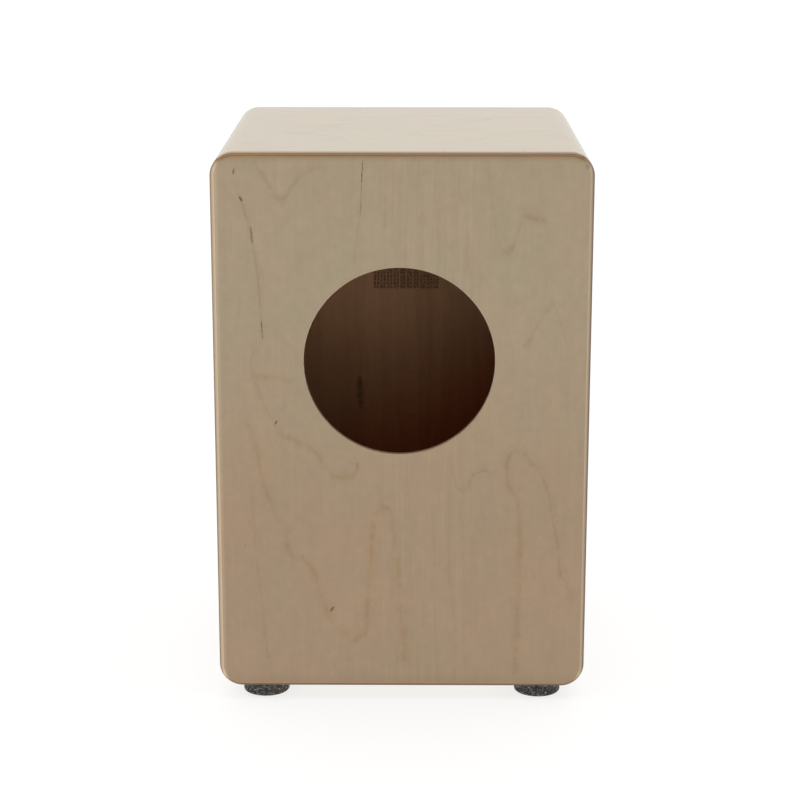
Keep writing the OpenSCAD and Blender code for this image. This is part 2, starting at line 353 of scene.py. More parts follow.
def colour_ramp(value, stops, mode="LINEAR"):
    """Stops are (position, colour)."""
    node = add_node("ShaderNodeValToRGB", {0: value})
    ramp = node.color_ramp
    ramp.interpolation = mode
    while len(ramp.elements) > 1:
        ramp.elements.remove(ramp.elements[-1])
    for i, (position, colour) in enumerate(stops):
        stop = ramp.elements[0] if i == 0 else ramp.elements.new(position)
        stop.position = position
        stop.color = (*colour, 1)
    return Field(node.outputs[0])


def float_curve(value, points):
    """Smooth curve through points given as (0..1, 0..1), in order."""
    node = add_node("ShaderNodeFloatCurve", {"Value": value})
    curve = node.mapping.curves[0]
    curve.points[0].location = points[0]
    curve.points[1].location = points[-1]
    for point in points[1:-1]:
        curve.points.new(*point)
    node.mapping.update()
    return Field(node.outputs[0])


def bump(height, strength=1.0):
    """Normal from a height in millimetres."""
    return field("ShaderNodeBump", {"Height": height, "Distance": MM, "Strength": strength})


def coordinates(tree, output):
    return Field(tree.nodes.new("ShaderNodeTexCoord").outputs[output])


def start_material(name):
    """New empty material, and the object position in millimetres."""
    material = bpy.data.materials.new(name)
    material.use_nodes = True
    material.node_tree.nodes.clear()
    return material, scaled(coordinates(material.node_tree, "Object"), 1000.0)


def finish_material(material, **values):
    """Adds the surface; keywords are its input names with underscores for spaces."""
    tree = material.node_tree
    surface = tree.nodes.new("ShaderNodeBsdfPrincipled")
    for key, value in values.items():
        set_input(surface.inputs[key.replace("_", " ")], value)
    output = tree.nodes.new("ShaderNodeOutputMaterial")
    tree.links.new(surface.outputs[0], output.inputs[0])
    return material


def lacquer(position, weight, size, rough, wave):
    """Clear coat inputs; size and wave are the width and height of its ripples."""
    flow = noise(position, scale=1 / size)
    return dict(Coat_Weight=weight, Coat_Roughness=scale_add(flow, 0.08, rough), Coat_IOR=1.5,
                Coat_Normal=bump(flow * wave, strength=0.6))


def capsule(across, along, start, end, radius, soft):
    """Mask of a short streak between two points of a face, 1 inside."""
    offset = xyz(across - start[0], along - start[1], 0.0)
    line = (end[0] - start[0], end[1] - start[1], 0.0)
    length_squared = line[0] ** 2 + line[1] ** 2
    share = math_node("DIVIDE", vector_math("DOT_PRODUCT", offset, line), length_squared,
                      clamp=True)
    nearest = scaled(line_vector(share, line), 1.0) if False else scaled_line(line, share)
    distance = vector_math("LENGTH", vector_math("SUBTRACT", offset, nearest))
    # thinner towards both ends
    taper = math_node("SQRT", share * (1.0 - share) * 4.0)
    reach = scale_add(taper, radius * 0.8, radius * 0.2)
    body = fall(distance, reach, reach + soft)
    breaks = noise((start[0] * 0.7, along / 3.5, 5.0))
    return body * map_range(breaks, 0.30, 0.60, low=0.45)


def scaled_line(line, share):
    """A constant vector times a Field."""
    return scaled(line, share)


def gritty(colour, x, y, z, size, depth_size, contrast):
    """Speckles a cut ply edge; also returns the speckle."""
    grit = noise((x / size, y / depth_size, z / size), rough=0.6)
    return shaded(colour, scale_add(grit - 0.5, contrast, 1.0)), grit


# ---------------------------------------------------------------- maple
# Growth lines of the rear panel: axis they are read along, tone, strength, (x, z) points
GROWTH_LINES = [
    ("z", "grey", 0.60, [
        (127.0, 423), (122.5, 407), (118, 391.5), (116, 377.5), (113, 353.5), (112, 329.5),
        (111.5, 309), (115.5, 297), (120, 285.5), (118.5, 274), (114.5, 266), (111.5, 256),
        (107, 246), (101.5, 237)]),
    ("x", "brown", 0.85, [
        (103, 239.5), (95, 227), (85.5, 222.5), (77.5, 219), (69.5, 213), (63.5, 205),
        (58.5, 196.5), (55.5, 192.5), (48, 191.5), (41, 192.5), (36, 200), (34.5, 208)]),
    ("x", "red", 0.80, [
        (116.5, 449), (108.5, 436.5), (102.5, 427), (98, 419.5), (95, 417.5), (90.5, 420),
        (86.5, 427), (81, 434), (73, 439.5), (60.5, 443.5)]),
    ("x", "red", 0.95, [
        (-74, 387), (-76.5, 379.5), (-81.5, 377), (-86, 378.5), (-89, 387.5), (-91.5, 395),
        (-94.5, 402.5), (-99.5, 404), (-106, 402.5), (-112.5, 400)]),
    ("z", "grey", 0.35, [(-66, 446), (-70, 417), (-75, 385.5)]),
    ("x", "red", 0.75, [
        (-95, 299), (-103, 308), (-106.5, 317.5), (-111, 326), (-116.5, 331.5), (-119.5, 334),
        (-122, 330), (-125.5, 318), (-130.5, 305)]),
    ("x", "brown", 0.75, [(120.5, 280), (111, 275), (101, 274), (86, 271)]),
    ("z", "red", 0.45, [(-51, 391), (-51.5, 368), (-53.5, 356)]),
    ("z", "grey", 0.45, [(32, 414.5), (35, 389.5), (37.5, 366.5)]),
    ("z", "brown", 0.80, [
        (124.5, 238), (117.5, 219), (114.5, 202), (111, 185.5), (106.5, 173), (101, 157.5),
        (95.5, 147.5), (93, 134.5), (90, 127)]),
    ("x", "brown", 0.95, [(92.5, 130.5), (88.5, 125.5), (81, 123.5), (74, 117)]),
    ("z", "brown", 0.90, [
        (74.5, 118.5), (68, 100.5), (62.5, 83), (57, 68.5), (51.5, 61.5), (44, 55.5)]),
    ("x", "brown", 0.80, [
        (58.5, 70), (51.5, 61.5), (45.5, 58), (41, 52), (36.5, 54), (31.5, 57.5)]),
    ("z", "brown", 0.85, [
        (32.5, 55.5), (29, 66), (27.5, 87.5), (25, 122), (22.5, 156), (20, 163)]),
    ("x", "brown", 0.95, [(23.5, 152.5), (20, 163), (14.5, 166.5), (9.5, 163), (6.5, 149.5)]),
    ("z", "brown", 0.80, [
        (8.5, 161), (6.5, 147.5), (4.5, 130.5), (3, 109), (1.5, 87.5), (-1, 53), (-2, 33.5)]),
    ("z", "grey", 0.40, [(41.5, 54.5), (44, 33.5)]),
    ("z", "grey", 0.50, [
        (123, 194), (120, 164.5), (118.5, 130.5), (115.5, 96), (111.5, 52.5), (106, 21)]),
    ("z", "grey", 0.65, [(-40, 211), (-42, 194), (-44.5, 184)]),
    ("x", "grey", 0.95, [
        (-42, 188.5), (-44.5, 183.5), (-47.5, 181), (-51.5, 182.5), (-55.5, 190), (-60.5, 196),
        (-71, 197.5)]),
    ("z", "brown", 0.85, [
        (-86, 209.5), (-84.5, 203.5), (-84.5, 194.5), (-88.5, 181.5), (-93.5, 173.5),
        (-95.5, 156.5), (-96, 122.5), (-95, 88), (-94, 53), (-92.5, 22.5)]),
    ("x", "red", 0.95, [
        (-83.5, 203.5), (-87.5, 212), (-93, 214.5), (-99, 211), (-104.5, 204.5),
        (-109.5, 198.5), (-116, 187)]),
    ("z", "grey", 0.75, [
        (-114.5, 190), (-119.5, 173.5), (-123, 152), (-126.5, 135), (-128.5, 114), (-134, 101),
        (-140, 85.5)]),
    ("x", "brown", 0.65, [
        (-117.5, 17.5), (-120.5, 29), (-123, 37.5), (-127, 29), (-129.5, 17.5)]),
]
# Half width of a line's core by axis, and of the halo around any line
CORE_W = {"x": 3.9, "z": 3.3}
GREY_CORE_W = {"x": 2.0, "z": 1.8}
HALO_W = 8.5
# Tone: tint of the core, tint of the halo
TONES = {"red": ((0.82, 0.69, 0.635), (0.955, 0.885, 0.845)),
         "brown": ((0.85, 0.765, 0.56), (0.945, 0.905, 0.78)),
         "grey": ((0.68, 0.61, 0.54), (0.94, 0.92, 0.885))}
# Dark streaks on the rear panel: start (x, z), end (x, z), radius, soft edge, strength, colour
STREAKS = [
    ((30.6, 447.5), (31.5, 431), 0.26, 0.48, 0.92, (0.09, 0.055, 0.025)),
    ((31.5, 431), (32.3, 405), 0.14, 0.42, 0.55, (0.13, 0.08, 0.045)),
    ((126.5, 419.2), (124.8, 416.1), 0.45, 0.80, 0.97, (0.10, 0.048, 0.010)),
    ((130.7, 441.2), (130.95, 437.6), 0.38, 0.75, 0.85, (0.14, 0.090, 0.035)),
    ((118.6, 395), (117.4, 383), 0.42, 0.75, 0.62, (0.36, 0.15, 0.085)),
    ((118.0, 395), (116.9, 383), 0.24, 0.50, 0.80, (0.17, 0.09, 0.055)),
    ((124.5, 414), (117.5, 382), 0.10, 0.50, 0.24, (0.27, 0.17, 0.10)),
    ((117.5, 382), (112.3, 346), 0.10, 0.50, 0.24, (0.27, 0.17, 0.10)),
    ((112.3, 346), (110.4, 314), 0.10, 0.50, 0.28, (0.27, 0.17, 0.10)),
    ((111, 320), (110.2, 306.5), 0.28, 0.48, 0.84, (0.12, 0.07, 0.035)),
    ((99.9, 238.9), (101.0, 236.0), 0.45, 0.80, 0.97, (0.10, 0.045, 0.008)),
    ((36, 204), (35.7, 198.6), 0.16, 0.42, 0.75, (0.15, 0.09, 0.05)),
    ((55.6, 81.3), (58.2, 78.0), 0.50, 0.85, 1.00, (0.09, 0.030, 0.003)),
    ((54.5, 80), (60.0, 75), 0.4, 3.2, 0.32, (0.44, 0.21, 0.10)),
    ((58, 101), (57.6, 86), 0.10, 0.45, 0.30, (0.30, 0.19, 0.11)),
    ((13, 409), (13, 395), 1.1, 2.4, 0.20, (0.34, 0.21, 0.12)),
    ((-115, 190), (-116, 158), 2.0, 5.0, 0.22, (0.42, 0.25, 0.15)),
    ((-112, 176), (-113, 165), 0.8, 3.0, 0.20, (0.42, 0.25, 0.15)),
]
# Ply colours below the rear face: (share of REAR_PLY_T, colour).
# Top and bottom edges cut the outer plies across the fibres (dark).
END_PLIES = [
    (0.0, (0.43, 0.290, 0.160)), (0.050, (0.41, 0.270, 0.145)), (0.062, (0.225, 0.105, 0.048)),
    (0.105, (0.225, 0.105, 0.048)), (0.125, (0.36, 0.222, 0.110)), (0.195, (0.34, 0.200, 0.095)),
    (0.215, (0.200, 0.100, 0.044)), (0.300, (0.230, 0.122, 0.055)), (0.325, (0.38, 0.250, 0.138)),
    (0.450, (0.41, 0.282, 0.162)), (0.480, (0.42, 0.310, 0.200)), (0.690, (0.44, 0.335, 0.222)),
    (0.71, (0.40, 0.290, 0.185)), (0.925, (0.40, 0.290, 0.185)), (0.94, (0.24, 0.130, 0.070)),
    (0.955, (0.48, 0.36, 0.23)), (1.0, (0.48, 0.36, 0.23))]
# Upright edges cut them along the fibres (pale).
SIDE_PLIES = [
    (0.0, (0.54, 0.415, 0.270)), (0.025, (0.62, 0.480, 0.335)), (0.066, (0.60, 0.455, 0.310)),
    (0.075, (0.50, 0.365, 0.235)), (0.090, (0.62, 0.475, 0.330)), (0.230, (0.54, 0.400, 0.265)),
    (0.260, (0.300, 0.190, 0.110)), (0.480, (0.270, 0.165, 0.092)), (0.510, (0.40, 0.290, 0.180)),
    (0.700, (0.38, 0.270, 0.165)), (0.925, (0.36, 0.250, 0.150)), (0.94, (0.24, 0.130, 0.070)),
    (0.955, (0.48, 0.36, 0.23)), (1.0, (0.48, 0.36, 0.23))]
# Dark spots at the rear panel's top corners: x, z, radius, strength
CORNER_DARK_SPOTS = [(-142.2, TOP_Z - 1.6, 4.2, 0.95), (-144.2, TOP_Z - 10.5, 3.4, 0.35),
                 (145.0, TOP_Z - 5.0, 2.8, 0.6)]


def growth_stroke(x, z, axis, points):
    """Distance to a line drawn through points, and a mask that ends it softly."""
    run, side = (z, x) if axis == "z" else (x, z)
    points = sorted(point[::-1] if axis == "z" else point for point in points)
    start, end = points[0][0], points[-1][0]
    base = min(point[1] for point in points)
    span = max(point[1] for point in points) - base
    share = map_range(run, start, end, shape="LINEAR")
    path = float_curve(share, [((along - start) / (end - start), (across - base) / span)
                               for along, across in points])
    distance = abs(side - scale_add(path, span, base))
    soft = 2.0 if axis == "x" else 5.0
    opening = rise(run, start - soft * 0.3, start + soft * 0.7)
    closing = fall(run, end - soft * 0.7, end + soft * 0.3)
    return distance, opening * closing


def rear_growth_lines(colour, x, z, cloudy):
    # the lines tremble sideways
    shiver_x, shiver_z, shiver = split(cloudy(5, 7, 33.0, detail=4.0, rough=0.7, output=1))
    shaken_x = scale_add(shiver_x - 0.5, 4.6, x)
    shaken_z = scale_add(shiver_z - 0.5, 6.5, z)
    lines = {tone: (0.0, 0.0) for tone in TONES}
    for axis, tone, strength, points in GROWTH_LINES:
        distance, mask = growth_stroke(shaken_x, shaken_z, axis, points)
        mask = mask * strength
        core, halo = lines[tone]
        core_w = (GREY_CORE_W if tone == "grey" else CORE_W)[axis]
        lines[tone] = (math_node("MAXIMUM", core, fall(distance, 0.0, core_w) * mask),
                       math_node("MAXIMUM", halo, fall(distance, 0.0, HALO_W) * mask))
    # the lines come and go along their run
    gap = cloudy(13, 17, 35.0, detail=3.0, rough=0.65)
    core_share = scale_add(rise(scale_add(shiver, 0.4, gap * 0.6), 0.40, 0.60), 0.42, 0.10)
    halo_share = scale_add(rise(gap, 0.40, 0.60), 0.68, 0.14)
    for tone, (core_tint, halo_tint) in TONES.items():
        core, halo = lines[tone]
        colour = tinted(colour, core_tint, core * core_share)
        colour = tinted(colour, halo_tint, halo * halo_share)
    return colour


def contour_lines(level, period, seed, wide=1.0):
    """Thin lines where level crosses unevenly spaced steps, and the fade on one side of each."""
    wobble = noise((level / 210.0, seed, 0.0), detail=1.0)
    phase = math_node("FRACT", level / period + wobble * 0.9)
    distance = math_node("MINIMUM", phase, 1.0 - phase) * period
    return fall(distance, 0.35 * wide, 2.5 * wide), fall(phase, 0.0, 0.30)


def cathedral_lines(colour, along, cloudy, seed):
    """Faint arched growth lines of the plain sheets."""
    patch = rise(cloudy(30, 55, 31.0), 0.36, 0.64)
    hill = cloudy(62, 900, 21.0, rough=0.45)
    small = cloudy(9, 34, 23.0, detail=3.0)
    level = scale_add(small - 0.5, 13.0, along + hill * 520.0)
    line, fade = contour_lines(level, 84.0, seed)
    faint_line, faint_fade = contour_lines(level + 31.0, 39.5, seed + 4.0, wide=1.5)
    warm = mix((0.82, 0.745, 0.56), (0.82, 0.68, 0.575), rise(cloudy(50, 80, 37.0), 0.4, 0.6))
    colour = tinted(colour, warm, line * scale_add(patch, 0.50, 0.12))
    colour = tinted(colour, (0.80, 0.70, 0.58), faint_line * scale_add(patch, 0.14, 0.02))
    colour = tinted(colour, (0.88, 0.81, 0.68), fade * scale_add(patch, 0.22, 0.06))
    return tinted(colour, (0.90, 0.84, 0.76), faint_fade * 0.07)


def mineral_flecks(colour, across, along, seed, threshold):
    """Rare short dashes, each inside its own cell of a long grid."""
    cell_w, cell_h = 26, 48
    fleck_w, fleck_h = 0.55, 3.2

    def grid():
        return xyz(across / cell_w, along / cell_h, seed * 3.0)

    cell = voronoi(grid(), randomness=0.9)
    rare = math_node("GREATER_THAN", split(Field(cell.outputs["Color"]))[0], threshold)
    offset = vector_math("SUBTRACT", grid(), Field(cell.outputs["Position"]))
    off_x, off_y, _ = split(offset)
    dash = vector_math("LENGTH", xyz(off_x * (cell_w / fleck_w), off_y * (cell_h / fleck_h), 0.0))
    fleck = fall(dash, 0.5, 1.0) * rare
    return mix(colour, (0.23, 0.13, 0.075), fleck * 0.42)


def rear_streaks(colour, x, z):
    wavy_x = x + (noise((0.0, z / 4.0, 3.0)) - 0.5) * 1.6
    for start, end, radius, soft, strength, dark in STREAKS:
        mask = capsule(wavy_x, z, start, end, radius, soft)
        colour = mix(colour, dark, mask * strength)
    return colour


def rear_edges(colour, x, y, z):
    """Ply layers, painted shade, a painted highlight and dark corner spots of the rear panel's
    rim; also the edge mask and its speckle.
    """
    # the layers are told apart by their depth below the face
    depth = REAR_OUT_Y - (y + (noise((x / 22, z / 22, 7.0)) - 0.5) * 0.22)
    end_plies = colour_ramp(depth / REAR_PLY_T, END_PLIES)
    side_plies = colour_ramp(depth / REAR_PLY_T, SIDE_PLIES)
    from_side = HALF_W - abs(x)
    from_end = HALF_H - abs(z - MID_Z)
    plies = mix(end_plies, side_plies, fall(from_side - from_end, -9.0, 7.0))
    plies = tinted(plies, (1.10, 1.10, 1.04), rise(x, 50, 125))
    plies, grit = gritty(plies, x, y, z, size=1.1, depth_size=0.25, contrast=0.35)
    on_edge = (rise(y, REAR_OUT_Y - 0.02, REAR_OUT_Y - 0.20)
               * rise(y, REAR_IN_Y + 0.02, REAR_IN_Y + 0.08))
    # the face is toned where the top edge was rounded over; painted shade darkens it towards the
    # bottom edge
    colour = tinted(colour, (0.90, 0.77, 0.645), fall(TOP_Z - z, 3.2, 8.5, high=0.85))
    colour = tinted(colour, (0.90, 0.86, 0.80), fall(z - BOTTOM_Z, 1.6, 16.0, high=0.75))
    colour = mix(colour, plies, on_edge)
    # painted shade: the bottom edge darkened as if in shadow
    colour = tinted(colour, (0.30, 0.265, 0.215), fall(z - BOTTOM_Z, 0.6, 3.2))
    # painted shade darkens the rim at -X; a painted highlight band and slightly painted shade on
    # the rim at +X
    colour = tinted(colour, (0.52, 0.47, 0.42), fall(x + HALF_W, 0.8, 3.4))
    # painted highlight: the pale band where the +X roundover would catch side light
    band = rise(HALF_W - x, 2.2, 3.4) * fall(HALF_W - x, 4.6, 7.0)
    colour = tinted(colour, (1.20, 1.21, 1.26), band)
    # painted shade on the outermost rim at +X
    colour = tinted(colour, (0.84, 0.82, 0.80), fall(HALF_W - x, 0.8, 2.4))
    # darker spots at the rear panel's top corners
    for spot_x, spot_z, radius, strength in CORNER_DARK_SPOTS:
        away = vector_math("LENGTH", xyz(x - spot_x, z - spot_z, 0.0))
        colour = tinted(colour, (0.34, 0.25, 0.19), fall(away, 0.6, radius, high=strength))
    return colour, on_edge, grit


def rear_brightness(x, streak, fine, cloudy):
    # the sheet is plainly striped in its middle and quiet beside it
    striped = rise(x, -70, -45) * fall(x, 4, 24)
    light = (streak - 0.5) * scale_add(striped, 0.17, 0.08)
    light += (fine - 0.5) * scale_add(striped, 0.10, 0.10)
    light += (cloudy(7, 9, 41.0, detail=3.0, rough=0.6) - 0.5) * 0.18
    return light + (cloudy(17, 27, 47.0) - 0.5) * 0.11


def maple(name, across_axis, along_axis, seed, lacquered=True, rear=False):
    """Plain sliced maple veneer: fibres, growth lines, pores, flecks; ply edges on the rear."""
    material, position = start_material(name)
    axes = split(position)
    across, along = axes[across_axis], axes[along_axis]
    x, y, z = axes
    seed = float(seed)

    # slow sideways drift, so that no fibre runs dead straight
    cloudy = noise_on(across, along, seed)
    drifted = across + (cloudy(60, 160, 0, detail=1.0) - 0.5) * 9.0
    fibre = noise_on(drifted, along, seed, rough=0.55)
    blotch = fibre(75, 120, 1.3)
    band = fibre(17, 420, 3.1)
    streak = fibre(4.2, 190, 5.7, detail=3.0)
    fine = fibre(0.9, 46, 7.9, rough=0.6)
    pores = rise(fibre(0.42, 5.5, 11.1, detail=1.0), 0.66, 0.76)
    ray = fibre(7.0, 2.2, 13.0, rough=0.5)

    # greenish and pinkish clouds, warmer in some bands
    cloud = cloudy(38, 62, 17.0, detail=4.0, rough=0.62)
    mood = cloud * 0.65 + blotch * 0.35
    colour = mix((0.509, 0.418, 0.266), (0.531, 0.412, 0.265), rise(mood, 0.40, 0.60))
    colour = mix(colour, (0.555, 0.410, 0.254), rise(band, 0.5, 0.75, high=0.18))
    if rear:
        # a slightly darker sheet than the walls, warmer in its lower half
        sheet = mix((0.862, 0.816, 0.786), (0.820, 0.690, 0.616), rise(z, 370, 130))
        colour = rear_growth_lines(tinted(colour, sheet), x, z, cloudy)
        light = rear_brightness(x, streak, fine, cloudy)
    else:
        colour = cathedral_lines(colour, along, cloudy, seed)
        light = (streak - 0.5) * 0.13 + (fine - 0.5) * 0.14
    light += (ray - 0.5) * 0.05
    light += (blotch - 0.5) * 0.06
    light -= pores * 0.06
    colour = shaded(colour, light + 1.0)
    colour = mineral_flecks(colour, across, along, seed, threshold=0.99 if rear else 0.93)

    rough = scale_add(streak - 0.5, 0.16, 0.36 if lacquered else 0.66)
    height = fine * 0.012 + streak * 0.02 - pores * (0.014 if lacquered else 0.03)
    coat = 0.55
    if rear:
        colour, on_edge, grit = rear_edges(rear_streaks(colour, x, z), x, y, z)
        height += grit * on_edge * 0.03
        rough = scale_add(on_edge, 0.22, rough)
        coat = scale_add(on_edge, -0.40, 0.55)
    # the glue line between the rear panel and the walls
    seam = fall(abs(y - REAR_IN_Y), 0.05, 0.32)
    colour = mix(colour, (0.13, 0.070, 0.038), seam * 0.6)
    values = {}
    if lacquered:
        values = lacquer(position, weight=coat, size=9.0, rough=0.13, wave=0.035)
    else:
        # bare veneer inside the box is paler
        colour = tinted(colour, (1.18, 1.20, 1.26))
    return finish_material(material, Base_Color=colour, Roughness=rough, IOR=1.5,
                           Normal=bump(height, 0.7 if lacquered else 1.0), **values)


# ---------------------------------------------------------------- veneer of the playing plate
# Stripe colours: (stripe value, colour)
RED_STRIPES = [(0.25, (0.085, 0.030, 0.014)), (0.42, (0.190, 0.066, 0.028)),
               (0.56, (0.285, 0.108, 0.046)), (0.74, (0.350, 0.150, 0.066))]
RAW_RED_STRIPES = [(0.25, (0.520, 0.146, 0.062)), (0.5, (0.575, 0.166, 0.074)),
                   (0.75, (0.620, 0.188, 0.090))]
# paler copy of the raw stripes: painted light on the inner face
RAW_PAINTED_LIGHT_STRIPES = [(0.25, (0.455, 0.245, 0.132)), (0.5, (0.505, 0.280, 0.155)),
                    (0.75, (0.555, 0.315, 0.180))]
# (share of TAPA_PLY_T behind the outer face, colour)
TAPA_PLIES = [
    (0.0, (0.20, 0.08, 0.035)), (0.17, (0.20, 0.08, 0.035)), (0.20, (0.42, 0.30, 0.18)),
    (0.38, (0.42, 0.30, 0.18)), (0.42, (0.20, 0.12, 0.07)), (0.60, (0.22, 0.13, 0.08)),
    (0.64, (0.42, 0.30, 0.18)), (0.84, (0.42, 0.30, 0.18)), (0.88, (0.26, 0.12, 0.06))]


def red_veneer(name, seed, lacquered):
    """Red-brown striped hardwood veneer, fibres upright, with plywood under it."""
    material, position = start_material(name)
    x, y, z = split(position)
    seed = float(seed)
    cloudy = noise_on(x, z, seed)
    drifted = x + (cloudy(45, 190, 0) - 0.5) * 26.0
    fibre = noise_on(drifted, z, seed, rough=0.55)
    stripe = fibre(13, 900, 2.0, detail=3.0)
    vein = fibre(3.4, 500, 4.0, detail=3.0)
    fine = fibre(0.7, 34, 6.0, rough=0.65)
    pores = rise(fibre(0.38, 7.0, 8.0, detail=1.0), 0.60, 0.72)
    ribbon = fibre(26, 70, 9.0, rough=0.5)
    if lacquered:
        base = colour_ramp(stripe, RED_STRIPES)
        dark = (0.035, 0.014, 0.008)
        vein_share, pore_share, pore_depth, base_rough = 0.55, 0.5, 0.02, 0.34
    else:
        # painted light: paler towards the top and +X, where light through the sound hole falls on
        # the inner face
        slope = scale_add(cloudy(70, 90, 12.0) - 0.5, 70.0, z) + x * 0.55
        base = mix(colour_ramp(stripe, RAW_RED_STRIPES), colour_ramp(stripe, RAW_PAINTED_LIGHT_STRIPES),
                   rise(slope, 120, 228))
        dark = (0.10, 0.045, 0.025)
        vein_share, pore_share, pore_depth, base_rough = 0.10, 0.25, 0.05, 0.62
    colour = mix(base, dark, rise(vein, 0.56, 0.70) * vein_share)
    shade = (fine - 0.5) * 0.42 + (ribbon - 0.5) * 0.30 + 1.0
    if not lacquered:
        shade = scale_add(shade - 1.0, 0.35, 1.0)
    colour = shaded(colour, shade)
    colour = mix(colour, dark, pores * pore_share)
    if not lacquered:
        # a dark mark left on the inner face
        blot = capsule(x, z, start=(41, 201), end=(40, 173), radius=1.2, soft=3.0)
        colour = mix(colour, (0.05, 0.022, 0.012), blot * 0.55)
    # ply layers on the thin rim
    plies = colour_ramp((y - TAPA_OUT_Y) / TAPA_PLY_T, TAPA_PLIES)
    plies, _ = gritty(plies, x, y, z, size=1.0, depth_size=0.2, contrast=0.4)
    on_edge = (rise(y, TAPA_OUT_Y + 0.04, TAPA_OUT_Y + 0.3)
               * fall(y, TAPA_IN_Y - 0.08, TAPA_IN_Y - 0.02))
    colour = mix(colour, plies, on_edge)
    height = fine * 0.02 - pores * pore_depth
    values = {}
    if lacquered:
        values = lacquer(position, weight=0.6, size=8.0, rough=0.14, wave=0.03)
    return finish_material(material, Base_Color=colour, IOR=1.5,
                           Roughness=scale_add(vein - 0.5, 0.2, base_rough),
                           Normal=bump(height, strength=0.8), **values)


# ---------------------------------------------------------------- other materials
def beech(name, along_axis, seed):
    """Planed beech: pinkish tan with short dark rays."""
    material, position = start_material(name)
    axes = split(position)
    along = axes.pop(along_axis)
    side, other = axes
    grain = noise((side / 5, other / 5, along / 150), detail=3.0)
    fine = noise((side / 0.6, other / 0.6, along / 26))
    flecks = noise((scale_add(side, 1 / 0.5, float(seed)), other / 0.5, along / 3.2), detail=1.0)
    colour = colour_ramp(grain, [(0.3, (0.40, 0.235, 0.130)), (0.5, (0.50, 0.310, 0.180)),
                                 (0.7, (0.57, 0.375, 0.230))])
    colour = mix(colour, (0.27, 0.135, 0.07), rise(flecks, 0.62, 0.72) * 0.4)
    colour = shaded(colour, scale_add(fine - 0.5, 0.3, 1.0))
    return finish_material(material, Base_Color=colour, Roughness=scale_add(fine, 0.15, 0.55),
                           Normal=bump(fine * 0.03), IOR=1.5)


# Rubber crumbs: (lower end of the random pick, colour)
CRUMBS = [(0.0, (0.040, 0.039, 0.038)), (0.25, (0.085, 0.082, 0.079)),
          (0.48, (0.140, 0.133, 0.125)), (0.62, (0.062, 0.060, 0.059)),
          (0.74, (0.230, 0.220, 0.205)), (0.88, (0.400, 0.380, 0.350)),
          (0.95, (0.170, 0.125, 0.095))]


def granulate():
    """Pressed rubber granules: near-black crumbs with grey and brown flecks."""
    material, position = start_material("granulate_rubber")
    warp = scaled(noise(position, scale=0.7, output=1), 1.2)
    warped = vector_math("ADD", position, warp)
    pick = split(Field(voronoi(warped, scale=0.80).outputs["Color"]))[0]
    colour = colour_ramp(pick, CRUMBS, "CONSTANT")
    edges = voronoi(warped, scale=0.80, feature="DISTANCE_TO_EDGE")
    inside = rise(Field(edges.outputs["Distance"]), 0.0, 0.14)
    colour = mix((0.022, 0.021, 0.020), colour, scale_add(inside, 0.65, 0.35))
    dust = noise(position, scale=0.13, detail=3.0)
    colour = mix(colour, (0.20, 0.165, 0.135), rise(dust, 0.45, 0.75, high=0.32))
    fine = noise(position, scale=2.4)
    return finish_material(material, Base_Color=colour, Roughness=scale_add(fine, 0.2, 0.72),
                           Normal=bump(inside * 0.22 + fine * 0.12), IOR=1.5,
                           Specular_IOR_Level=0.4)


def metal(name, colour, rough, scratch=0.12, metallic=1.0, dirt=(0.10, 0.085, 0.07),
          dirt_amount=0.25):
    """Plated or drawn metal: clouded roughness, hairline scratches, grime in patches."""
    material, position = start_material(name)
    x, y, z = split(position)
    cloud = noise(position, scale=0.22, detail=3.0)
    hair = noise((x * 0.25, y * 4.0, z * 4.0), rough=0.6)
    spots = noise(position, scale=0.9, detail=3.0, rough=0.6)
    colour = shaded(colour, scale_add(cloud - 0.5, 0.25, 1.0))
    grime = rise(spots, 0.56, 0.74, high=dirt_amount)
    roughness = scale_add(cloud, 0.14, rough - 0.07) + (hair - 0.5) * scratch + grime * 0.5
    return finish_material(material, Base_Color=mix(colour, dirt, grime), Roughness=roughness,
                           Metallic=scale_add(grime, -0.8, metallic),
                           Normal=bump(scale_add(hair, 0.004, spots * 0.006), strength=0.7))


def plastic():
    """Black moulded plastic with a spark-eroded texture."""
    material, position = start_material("black_plastic")
    fine = noise(position, scale=3.2, detail=3.0, rough=0.65)
    wear = noise(position, scale=0.35, detail=3.0)
    colour = mix((0.016, 0.016, 0.0165), (0.035, 0.034, 0.033), rise(wear, 0.45, 0.75, high=0.4))
    return finish_material(material, Base_Color=colour, IOR=1.49, Normal=bump(fine * 0.045),
                           Roughness=scale_add(fine, 0.18, scale_add(wear, 0.12, 0.34)))


def sheet_maple(name, across, along, seed, **kind):
    """Maple with its sheet directions given as axis letters."""
    return maple(name, "xyz".index(across), "xyz".index(along), seed, **kind)


MAPLE_REAR = sheet_maple("maple_rear", "x", "z", 11, rear=True)
MAPLE_TOP = sheet_maple("maple_top", "y", "x", 23)
MAPLE_BOTTOM = sheet_maple("maple_bottom", "y", "x", 37)
MAPLE_LEFT = sheet_maple("maple_left", "y", "z", 41)
MAPLE_RIGHT = sheet_maple("maple_right", "y", "z", 59)
RAW_ACROSS = sheet_maple("maple_raw_across", "y", "x", 67, lacquered=False)
RAW_UPRIGHT = sheet_maple("maple_raw_upright", "y", "z", 71, lacquered=False)
RAW_REAR = sheet_maple("maple_raw_rear", "x", "z", 83, lacquered=False)
TAPA_FACE = red_veneer("tapa_face", seed=5, lacquered=True)
TAPA_INSIDE = red_veneer("tapa_inside", seed=9, lacquered=False)
BEECH_Y = beech("beech_y", along_axis=1, seed=3)
BEECH_X = beech("beech_x", along_axis=0, seed=8)
RUBBER = granulate()
ZINC = metal("zinc_steel", (0.60, 0.61, 0.63), rough=0.30)
SPRING = metal("spring_steel", (0.50, 0.50, 0.52), rough=0.26, scratch=0.08)
